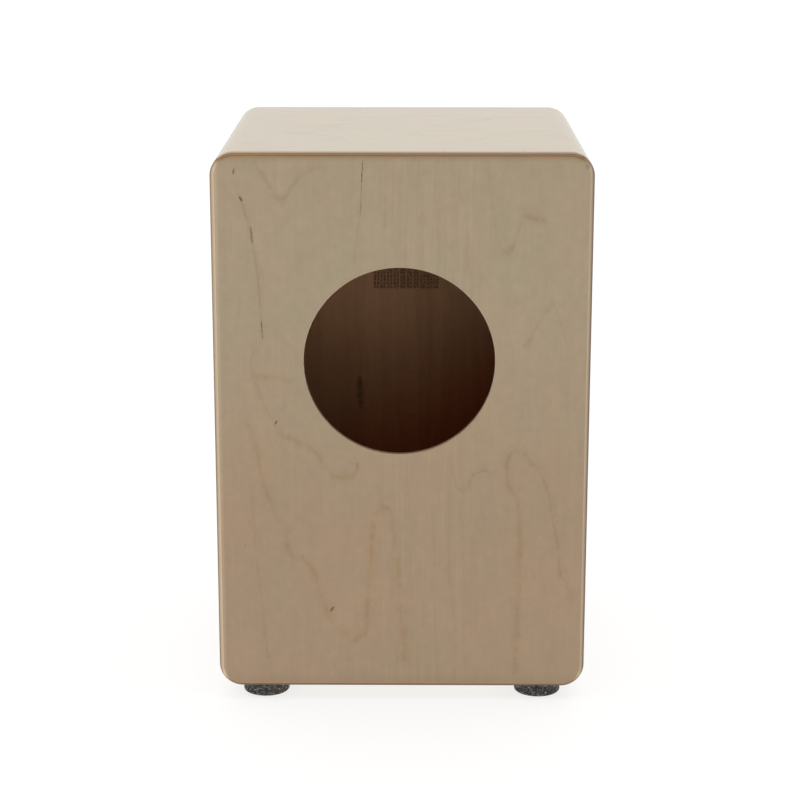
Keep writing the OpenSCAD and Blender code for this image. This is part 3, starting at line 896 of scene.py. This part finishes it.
STRAND = metal("strand_wire", (0.50, 0.42, 0.33), rough=0.30, scratch=0.08)
SCREW = metal("black_screw", (0.045, 0.045, 0.048), rough=0.42, scratch=0.15, metallic=0.85,
              dirt=(0.09, 0.07, 0.05), dirt_amount=0.15)
BRASS = metal("brass", (0.68, 0.50, 0.24), rough=0.33, scratch=0.14,
              dirt=(0.20, 0.13, 0.06), dirt_amount=0.3)
PLASTIC = plastic()


# ---------------------------------------------------------------- panels
def make_rear_panel():
    shape = Shape()
    start = REAR_OUT_Y - REAR_EDGE_R
    outline = [(0.18, REAR_IN_Y), (0.0, REAR_IN_Y + 0.18)]  # inset, y
    outline += [(REAR_EDGE_R * c, start + REAR_EDGE_R * s) for c, s in quarter(14)]
    rings = shape.loft([rounded_rect(inset, y, 24) for inset, y in outline])
    ease = 0.8
    hole = [(HOLE_R + ease * (1 - s), REAR_OUT_Y - ease * c) for c, s in quarter(5)]
    hole += [(HOLE_R + ease * c, REAR_IN_Y + ease * (1 - s)) for c, s in quarter(5)]
    hole_rings = shape.loft([ring_y(HOLE_X, HOLE_Z, [radius] * 192, y) for radius, y in hole])
    shape.cap([rings[-1], hole_rings[0]], 0)
    shape.cap([rings[0], hole_rings[-1]], 1)
    ob = shape.make("rear_panel_visual", [MAPLE_REAR, RAW_REAR])
    place(ob, "box", "rear_panel")


def make_tapa():
    shape = Shape()
    start = TAPA_OUT_Y + TAPA_EDGE_R
    outline = [(0.12, TAPA_IN_Y), (0.0, TAPA_IN_Y - 0.12)]  # inset, y
    outline += [(TAPA_EDGE_R * c, start - TAPA_EDGE_R * s) for c, s in quarter(8)]
    rings = shape.loft([rounded_rect(inset, y, 20) for inset, y in outline])
    # countersunk screw hole: radius, y
    hole = [(3.66, TAPA_OUT_Y), (3.56, TAPA_OUT_Y + 0.06), (3.55, TAPA_OUT_Y + 0.35),
            (2.0, TAPA_OUT_Y + 1.9), (2.0, TAPA_IN_Y - 0.08), (2.08, TAPA_IN_Y)]
    outer, inner = [rings[-1]], [rings[0]]
    for x, z in FIXED_SCREWS + SLAP_SCREWS:
        hole_rings = shape.loft([ring_y(x, z, [radius] * 40, y) for radius, y in hole])
        outer.append(hole_rings[0])
        inner.append(hole_rings[-1])
    shape.cap(outer, 0)
    shape.cap(inner, 1)
    place(shape.make("tapa_visual", [TAPA_FACE, TAPA_INSIDE]), "box", "tapa")


def wall_loop(half_length, out, ease, segments=14):
    """Section of a wall as (along, outwards): arc, outer flat, arc, inner face."""
    radius = CORNER_R - ease
    arc_along, arc_out = half_length - CORNER_R, out - CORNER_R
    points = []
    for start, centre in ((45, arc_along), (90, -arc_along)):
        for i in range(segments + 1):
            angle = math.radians(start + 45 * i / segments)
            points.append((centre + radius * math.cos(angle), arc_out + radius * math.sin(angle)))
    points.append((-(half_length - WALL_T) + ease * 0.5, out - WALL_T + ease))
    points.append(((half_length - WALL_T) - ease * 0.5, out - WALL_T + ease))
    return points


def make_wall(node, half_length, out, materials, turn):
    """turn: how a section point (along, outwards) becomes (x, z) from the middle of the box."""
    shape = Shape()
    ease = 0.16
    front, rear = TAPA_IN_Y, REAR_IN_Y
    stations = [(ease, front), (ease * 0.3, front + ease * 0.3), (0.0, front + ease),
                (0.0, rear - ease), (ease * 0.3, rear - ease * 0.3), (ease, rear)]
    rings = []
    for inset, y in stations:
        loop = [turn(*point) for point in wall_loop(half_length, out, inset)]
        rings.append([(x, y, MID_Z + z) for x, z in loop])
    made = shape.loft(rings, raw_side=len(rings[0]) - 2)
    shape.cap([made[0]], 1)
    shape.cap([made[-1]], 1)
    place(shape.make(node + "_visual", materials), "box", node)


def make_walls():
    level, upright = (HALF_W, HALF_H), (HALF_H, HALF_W)
    make_wall("top_panel", *level, [MAPLE_TOP, RAW_ACROSS], lambda a, out: (a, out))
    make_wall("bottom_panel", *level, [MAPLE_BOTTOM, RAW_ACROSS], lambda a, out: (-a, -out))
    make_wall("right_side_panel", *upright, [MAPLE_RIGHT, RAW_UPRIGHT], lambda a, out: (out, -a))
    make_wall("left_side_panel", *upright, [MAPLE_LEFT, RAW_UPRIGHT], lambda a, out: (-out, a))


# ---------------------------------------------------------------- rubber feet
def make_foot(node):
    low, high = box_mm(node)
    centre = Vector(((low[0] + high[0]) / 2, (low[1] + high[1]) / 2, 0))
    centre_x, centre_y = (low[0] + high[0]) / 2, (low[1] + high[1]) / 2
    foot_r, height = (high[0] - low[0]) / 2, high[2] - low[2]
    low_r, top_r = 1.8, 0.8  # rounding of the lower and upper edge
    segments = 144
    # radius, z from the underside up
    profile = [(foot_r * share, 0.0) for share in (0.14, 0.3, 0.45, 0.6, 0.74, 0.86)]
    profile += [(foot_r - low_r + low_r * s, low_r * c) for c, s in quarter(6)]
    profile += [(foot_r, low_r + (height - 2.6) * i / 13) for i in range(1, 14)]
    profile += [(foot_r - top_r * c, height - top_r + top_r * s) for c, s in quarter(3)][1:]
    profile += [(foot_r * share, height) for share in (0.86, 0.6, 0.3)]
    rings = []
    for radius, z in profile:
        side = min(1.0, max(0.0, (radius - foot_r * 0.8) / (foot_r * 0.2)))
        ring = []
        for i in range(segments):
            angle = 2 * math.pi * i / segments
            spot = Vector((radius * math.cos(angle), radius * math.sin(angle), z)) + centre
            crumbs = mnoise.noise(spot * 0.55) * 0.30
            crumbs += mnoise.noise(spot * 1.3 + Vector((7, 3, 1))) * 0.16
            out = (crumbs - 0.22) * side
            lift = 0.0
            if z < 2.0:
                lift = max(0.0, crumbs * 0.5 + 0.05) * (1 - z / 2.0)
            ring.append((centre_x + (radius + out) * math.cos(angle),
                         centre_y + (radius + out) * math.sin(angle), z + lift))
        rings.append(ring)
    shape = Shape()
    made = shape.loft(rings)
    shape.fan(made[0], (centre_x, centre_y, 0.05))
    shape.fan(made[-1], (centre_x, centre_y, height))
    ob = shape.make(node + "_visual", [RUBBER], sharp=60, weighted=False)
    place(ob, "box", node)


# ---------------------------------------------------------------- screws
def screw_rows(head, core, crest, length, pitch, tip, segments):
    """Rows (radius per angle, depth) of a wood screw; head is a list of (radius, depth)."""
    rows = [([radius] * segments, depth) for radius, depth in head]
    start = head[-1][1] + 0.6
    depth = start
    while depth < length - 0.15:
        cone = min(1.0, (length - depth) / tip)
        fade = min(1.0, (depth - head[-1][1] - 0.6) / 1.6) * min(1.0, (length - depth) / 1.2)
        row = []
        for i in range(segments):
            phase = (depth / pitch - i / segments) % 1.0
            tooth = max(0.0, 1 - abs(phase - 0.5) / 0.24)
            row.append(core * cone + (crest - core) * tooth * fade * (0.35 + 0.65 * cone))
        rows.append((row, depth))
        depth += 0.28
    rows.append(([0.10] * segments, length))
    return rows


def add_screw(shape, x, y, z, rows, recess, recess_end):
    """Screw going in along +Y, with a recess in its head."""
    made = shape.loft([ring_y(x, z, radii, y + depth) for radii, depth in rows])
    shape.fan(made[-1], (x, y + rows[-1][1], z))
    sunk = [shape.ring(ring_y(x, z, radii, y + depth)) for radii, depth in recess]
    for ring, other in zip([made[0]] + sunk, sunk):
        shape.bridge(ring, other)
    shape.fan(sunk[-1], (x, y + recess_end, z))


def add_countersunk(shape, x, z):
    """Countersunk wood screw with a six-lobed recess."""
    segments = 48
    head = [(2.6, 0.0), (3.30, 0.0), (3.45, 0.05), (3.50, 0.16), (3.48, 0.30), (1.72, 2.08)]
    rows = screw_rows(head, core=1.15, crest=1.69, length=25.0, pitch=1.75, tip=5.0,
                      segments=segments)
    lobes = [1.28 + 0.30 * math.cos(6 * 2 * math.pi * i / segments) for i in range(segments)]
    recess = [([r + 0.10 for r in lobes], 0.0), (lobes, 0.08),
              ([r * 0.96 for r in lobes], 1.25), ([r * 0.45 for r in lobes], 1.5)]
    add_screw(shape, x, TAPA_OUT_Y, z, rows, recess, recess_end=1.55)


def add_pan(shape, x, y, z, length, radius, head_r, head_h):
    """Pan head screw with a cross recess, underside of the head at y."""
    segments = 36
    head = [(head_r * 0.55, -head_h), (head_r * 0.80, -head_h * 0.93),
            (head_r * 0.93, -head_h * 0.72), (head_r, -head_h * 0.35), (head_r, -0.08),
            (head_r - 0.1, 0.0), (radius * 0.98, 0.0)]
    rows = screw_rows(head, core=radius * 0.70, crest=radius * 0.98, length=length, pitch=1.3,
                      tip=3.0, segments=segments)
    cross = [head_r * (0.26 + 0.20 * abs(math.cos(2 * 2 * math.pi * i / segments)) ** 1.5)
             for i in range(segments)]
    recess = [([r + 0.06 for r in cross], -head_h), (cross, -head_h + 0.06),
              ([r * 0.6 for r in cross], -head_h + head_h * 0.55)]
    add_screw(shape, x, y, z, rows, recess, recess_end=-head_h + head_h * 0.6)


def finish_screws(shape, node, material, body):
    ob = shape.make(node + "_visual", [material], sharp=40, weighted=False)
    place(ob, body, node)


def make_tapa_screws():
    shape = Shape()
    for x, z in FIXED_SCREWS:
        add_countersunk(shape, x, z)
    finish_screws(shape, "tapa_screws", SCREW, "box")
    for (x, z), node in zip(SLAP_SCREWS, ("slap_screw_left", "slap_screw_right")):
        shape = Shape()
        add_countersunk(shape, x, z)
        finish_screws(shape, node, SCREW, node)


def make_snare_screws():
    shape = Shape()
    (_, rail_y, rail_z), _ = box_mm("snare_rail")
    for side in (-1, 1):
        for z in (rail_z + 9, rail_z + 23):
            add_pan(shape, SNARE_X + side * 54.6, rail_y - 2.0, z,
                    length=14, radius=1.6, head_r=3.0, head_h=2.0)
    finish_screws(shape, "bracket_screws", ZINC, "box")
    shape = Shape()
    low, high = box_mm("snare_end_plate")
    for side in (-1, 1):
        add_pan(shape, SNARE_X + side * 34, low[1], (low[2] + high[2]) / 2,
                length=10, radius=1.4, head_r=2.6, head_h=1.6)
    finish_screws(shape, "end_plate_screws", ZINC, "snare_unit")


# ---------------------------------------------------------------- snare
def coil(x, y, z0, z1, mean, wire, phase, pitch=3.4, segments=22, sides=7):
    """Points, quads and end faces of one coiled wire standing along Z."""
    count = int((z1 - z0 - 2 * wire) / pitch * segments)
    angle = np.arange(count + 1) / segments * 2 * np.pi + phase
    heights = np.linspace(z0 + wire, z1 - wire, count + 1)
    cos, sin = np.cos(angle), np.sin(angle)
    slope = pitch / (2 * np.pi * mean)
    up = 1 / math.sqrt(1 + slope * slope)
    points = np.zeros((count + 1, sides, 3))
    for j in range(sides):
        turn = 2 * np.pi * j / sides
        out, lift = wire * math.cos(turn), wire * math.sin(turn)
        # binormal leans back along the run of the wire
        points[:, j, 0] = x + (mean + out) * cos + lift * slope * up * sin
        points[:, j, 1] = y + (mean + out) * sin - lift * slope * up * cos
        points[:, j, 2] = heights + lift * up
    index = np.arange((count + 1) * sides).reshape(count + 1, sides)
    following = np.roll(index, -1, 1)
    quads = np.stack([index[:-1], following[:-1], following[1:], index[1:]], -1).reshape(-1, 4)
    return points.reshape(-1, 3), quads, (index[0][::-1], index[-1])


def make_strands():
    low, high = box_mm("snare_strands")
    count, spacing, wire = 20, 3.05, 0.38
    y, radius = (low[1] + high[1]) / 2, (high[1] - low[1]) / 2
    points, faces, base = [], [], 0
    for i in range(count):
        # neighbours in the middle lean together in pairs
        from_middle = i - (count - 1) / 2
        lean = 0.30 * (1 if i % 2 == 0 else -1) * max(0.0, 1 - abs(from_middle) / 9.0)
        x = SNARE_X + from_middle * spacing + lean
        strand, quads, ends = coil(x, y, low[2], high[2], radius - wire, wire,
                                   phase=0.25 * math.sin(i * 2.4))
        points.append(strand)
        faces += (quads + base).tolist()
        faces += [(end + base).tolist() for end in ends]
        base += len(strand)
    mesh = bpy.data.meshes.new("snare_strands_visual")
    mesh.from_pydata((np.concatenate(points) * MM).tolist(), [], faces)
    mesh.flip_normals()
    mesh.update()
    ob = finish_mesh("snare_strands_visual", mesh, [STRAND], sharp=50, weighted=False)
    place(ob, "snare_unit", "snare_strands")


def make_spring():
    low, high = box_mm("pressure_spring")
    _, (_, seat, _) = box_mm("spring_seat_washer")
    (_, rail, _), _ = box_mm("snare_rail")
    mid_z = (low[2] + high[2]) / 2
    wire, mean, segments, sides, turns = 0.5, 4.65, 36, 12, 5.5
    y0, y1 = seat + wire + 0.04, rail - wire - 0.04
    count = int(turns * segments)
    closed = 0.62 / turns  # share of the wire that closes each end
    rings = []
    for i in range(count + 1):
        angle = 2 * math.pi * i / segments
        share = i / count
        # the end turns lie closed against their seats
        if share < closed:
            rise_share = (share / closed) ** 2 * closed * 0.5
        elif share > 1 - closed:
            rise_share = 1 - ((1 - share) / closed) ** 2 * closed * 0.5
        else:
            rise_share = closed * 0.5 + (share - closed) / (1 - 2 * closed) * (1 - closed)
        y = y0 + (y1 - y0) * rise_share
        ring = []
        for j in range(sides):
            turn = 2 * math.pi * j / sides
            radius = mean + wire * math.cos(turn)
            ring.append((SNARE_X + radius * math.cos(angle), y + wire * math.sin(turn),
                         mid_z + radius * math.sin(angle)))
        rings.append(ring)
    shape = Shape()
    made = shape.loft(rings)
    shape.face(made[0][::-1])
    shape.face(made[-1])
    ob = shape.make("pressure_spring_visual", [SPRING], sharp=50, weighted=False)
    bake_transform(ob)
    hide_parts("pressure_spring")


# ---------------------------------------------------------------- knob
def knob_radius(angle):
    """Outline of a round body with six round lobes."""
    body_r, lobe_r, lobe_reach = 11.0, 4.0, 10.5
    best = body_r
    for lobe in range(6):
        turn = angle - math.pi / 3 * lobe
        cos, sin = math.cos(turn), math.sin(turn)
        inside = lobe_r ** 2 - lobe_reach ** 2 * sin * sin
        if inside > 0 and cos > 0:
            best = max(best, lobe_reach * cos + math.sqrt(inside))
    return best


def make_knob():
    low, high = box_mm("adjuster_knob")
    y0, y1 = low[1], high[1]
    mid_z = (low[2] + high[2]) / 2
    segments = 216
    outline = np.array([knob_radius(2 * math.pi * i / segments) for i in range(segments)])
    # soften the inner corners between body and lobes
    for _ in range(5):
        smooth = (np.roll(outline, 1) + 2 * outline + np.roll(outline, -1)) / 4 + 0.02
        outline = np.minimum(outline, smooth)
    one = np.ones(segments)
    fillet = 1.4
    collar = y0 + 3.0
    # radii, y: collar, lobed body, dished face, rim of the insert and bore
    rows = [(4.62 * one, y0), (7.6 * one, y0), (7.9 * one, y0 + 0.12), (8.0 * one, y0 + 0.4),
            (8.0 * one, y0 + 2.6), (8.25 * one, collar)]
    rows += [(outline - fillet * 0.5 * (1 - s), collar + fillet * 0.5 * c)
             for c, s in quarter(4)]
    rows += [(outline, collar + (10 - fillet) * 0.5)]
    rows += [(outline - fillet * c, y1 - fillet + fillet * s) for c, s in quarter(7)]
    rows += [((outline - fillet) * share, y1 - drop)
             for share, drop in ((0.90, 0.05), (0.8, 0.22), (0.7, 0.5), (0.62, 0.75))]
    rows += [(6.4 * one, y1 - 0.78), (6.0 * one, y1 - 0.35), (5.7 * one, y1 - 0.08),
             (5.4 * one, y1), (4.6 * one, y1), (4.52 * one, y1 - 0.1), (4.52 * one, y0 + 0.1)]
    shape = Shape()
    made = shape.loft([ring_y(SNARE_X, mid_z, radii, y) for radii, y in rows])
    shape.bridge(made[-1], made[0])
    ob = shape.make("adjuster_knob_visual", [PLASTIC], sharp=40)
    place(ob, "adjuster", "adjuster_knob")


# ---------------------------------------------------------------- parts that keep their CAD shape
# node, material, width of the eased edges
CAD_PARTS = [
    ("top_left_corner_block", BEECH_Y, 0.5), ("top_right_corner_block", BEECH_Y, 0.5),
    ("bottom_left_corner_block", BEECH_Y, 0.5), ("bottom_right_corner_block", BEECH_Y, 0.5),
    ("snare_rail", BEECH_X, 0.4), ("snare_bar", BEECH_X, 0.4),
    ("left_pivot_bracket", ZINC, 0.25), ("right_pivot_bracket", ZINC, 0.25),
    ("pivot_pin", ZINC, 0), ("eye_pin", ZINC, 0),
    ("spring_seat_washer", ZINC, 0.2), ("knob_washer", ZINC, 0.2),
    ("snare_end_plate", BRASS, 0.12), ("pull_eye_bolt", ZINC, 0.3), ("knob_insert", BRASS, 0.2),
]


def dress(node, material, width):
    ob = frame["nodes"][node]
    ob.data.materials.clear()
    ob.data.materials.append(material)
    if width:
        # the CAD mesh arrives split along its edges
        weld = ob.modifiers.new("joined", "WELD")
        weld.merge_threshold = 2e-6
        bevel = ob.modifiers.new("eased", "BEVEL")
        bevel.width = width * MM
        bevel.segments = 3
        bevel.limit_method = "ANGLE"
        bevel.angle_limit = math.radians(35)
        add_weighted_normals(ob)


# ---------------------------------------------------------------- floor, light and camera
def make_floor():
    material, position = start_material("studio_floor")
    grey = scale_add(noise(position, scale=1 / 700.0) - 0.5, 0.01, 0.30)
    # a translucent table lit from below: more than half of its brightness is its own
    finish_material(material, Base_Color=xyz(grey, grey, grey), Roughness=0.9,
                    Specular_IOR_Level=0.1, Emission_Color=(1.0, 1.0, 1.0),
                    Emission_Strength=0.76)
    angles = [2 * math.pi * i / 96 for i in range(96)]
    shape = Shape()
    made = shape.loft([[(radius * math.cos(a), radius * math.sin(a), 0.0) for a in angles]
                       for radius in (1000, 4000, 28000)])
    shape.fan(made[0], (0, 0, 0))
    ob = shape.make("studio_floor", [material], weighted=False, recalc=False)
    # the rings are wound facing down
    ob.data.flip_normals()


def make_world():
    """Soft light from above, from -Y and from both sides; the camera sees plain white."""
    world = bpy.data.worlds.new("studio")
    SCENE.world = world
    world.use_nodes = True
    tree = world.node_tree
    tree.nodes.clear()
    x, y, z = split(vector_math("NORMALIZE", coordinates(tree, "Generated")))
    overhead = rise(z, 0.45, 0.90)
    far = rise(y * -1.0, 0.15, 0.75) * fall(z, 0.45, 0.80)
    sides = rise(abs(x), 0.55, 0.9) * fall(z, 0.25, 0.65)
    level = overhead * 1.30 + far * 0.78 + scale_add(sides, 0.60, 0.13)
    light = add_node("ShaderNodeBackground", {"Color": xyz(level, level, level * 0.985)})
    shown = tree.nodes.new("ShaderNodeBackground")
    set_input(shown.inputs["Color"], (1.0, 1.0, 1.0))
    path = tree.nodes.new("ShaderNodeLightPath")
    pick = tree.nodes.new("ShaderNodeMixShader")
    output = tree.nodes.new("ShaderNodeOutputWorld")
    tree.links.new(path.outputs["Is Camera Ray"], pick.inputs[0])
    tree.links.new(light.outputs[0], pick.inputs[1])
    tree.links.new(shown.outputs[0], pick.inputs[2])
    tree.links.new(pick.outputs[0], output.inputs[0])


def make_fill():
    """A soft light through the sound hole, as a low lamp beside the camera gives."""
    lamp = bpy.data.lights.new("hole_fill", "SPOT")
    lamp.energy = 10.2
    lamp.color = (1.0, 0.96, 0.89)
    lamp.spot_size = math.radians(75.0)
    lamp.spot_blend = 0.2
    lamp.shadow_soft_size = 0.36
    ob = bpy.data.objects.new("hole_fill", lamp)
    SCENE.collection.objects.link(ob)
    start = Vector((-0.12, 1.2, 0.235))  # metres
    aim = Vector((HOLE_X * MM, REAR_OUT_Y * MM, HOLE_Z * MM))
    turn = (aim - start).to_track_quat("-Z", "Y").to_matrix().to_4x4()
    ob.matrix_world = Matrix.Translation(start) @ turn
    ob.visible_camera = False
    ob.visible_glossy = False
    # it only reaches what lies inside the box
    inside = bpy.data.collections.new("lit_through_the_hole")
    unlit = ("rear_panel_visual", "adjuster_knob_visual", "studio_floor")
    for other in bpy.data.objects:
        if other.type == "MESH" and "foot" not in other.name and other.name not in unlit:
            inside.objects.link(other)
    ob.light_linking.receiver_collection = inside


def make_camera():
    """Looks along -Y and a little down at the rear panel."""
    lens = bpy.data.cameras.new("camera")
    lens.sensor_width = 36.0
    lens.lens = 96.59
    lens.shift_x, lens.shift_y = 0.0005, 0.0003
    lens.clip_start, lens.clip_end = 0.05, 100.0
    camera = bpy.data.objects.new("camera", lens)
    SCENE.collection.objects.link(camera)
    right = Vector((-0.99998, -0.00578, 0.00056))
    up = Vector((0.00199, -0.24994, 0.96826))
    ahead = Vector((0.00546, -0.96824, -0.24995))
    turn = Matrix((right, up, -ahead)).transposed().to_4x4()
    camera.matrix_world = Matrix.Translation((-0.007526, 1.806045, 0.683653)) @ turn
    SCENE.camera = camera


make_rear_panel()
make_tapa()
make_walls()
for foot in ("rear_left_foot", "rear_right_foot", "front_left_foot", "front_right_foot"):
    make_foot(foot)
make_tapa_screws()
make_strands()
make_spring()
make_knob()
make_snare_screws()
for part in CAD_PARTS:
    dress(*part)
make_floor()
make_world()
make_fill()
make_camera()
SCENE.view_settings.view_transform = "Standard"
SCENE.view_settings.look = "None"
SCENE.cycles.max_bounces = 12
SCENE.cycles.diffuse_bounces = 8
